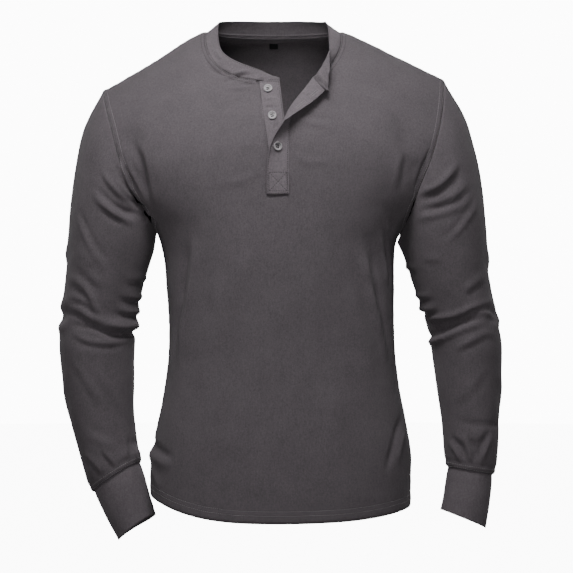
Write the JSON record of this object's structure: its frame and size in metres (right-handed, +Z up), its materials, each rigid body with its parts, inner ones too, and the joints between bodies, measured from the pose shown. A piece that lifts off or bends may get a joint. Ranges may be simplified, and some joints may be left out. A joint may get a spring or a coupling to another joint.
{
  "type": "long-sleeve t-shirt",
  "caption": "Long-sleeve jersey t-shirt with a short buttoned placket and a narrow stand neckband, hollow and filled out as if worn, its placket rolled open.",
  "frame": {"origin": "the base of the neck, midway between the two high shoulder points, where the garment hangs on its wearer's shoulders", "axes": "+Z up, the chest faces -Y and +X is the wearer's left"},
  "size_m": [0.621, 0.2486, 0.731],
  "materials": {
    "jersey": "charcoal grey heathered cotton jersey, matt",
    "band_jersey": "the same jersey doubled over, matt",
    "label": "black woven ribbon, blank",
    "buttons": "dark grey, half gloss, four holes"
  },
  "bodies": {
    "root": {"front": "jersey", "back": "jersey", "sleeve_right": "jersey", "sleeve_left": "jersey", "placket_under": "jersey", "placket_over": "jersey", "neckband": "band_jersey", "cuff_right": "band_jersey", "cuff_left": "band_jersey", "neck_tape": "band_jersey", "neck_label": "label", "button_1": "buttons", "button_2": "buttons", "button_3": "buttons"}
  },
  "joints": []
}
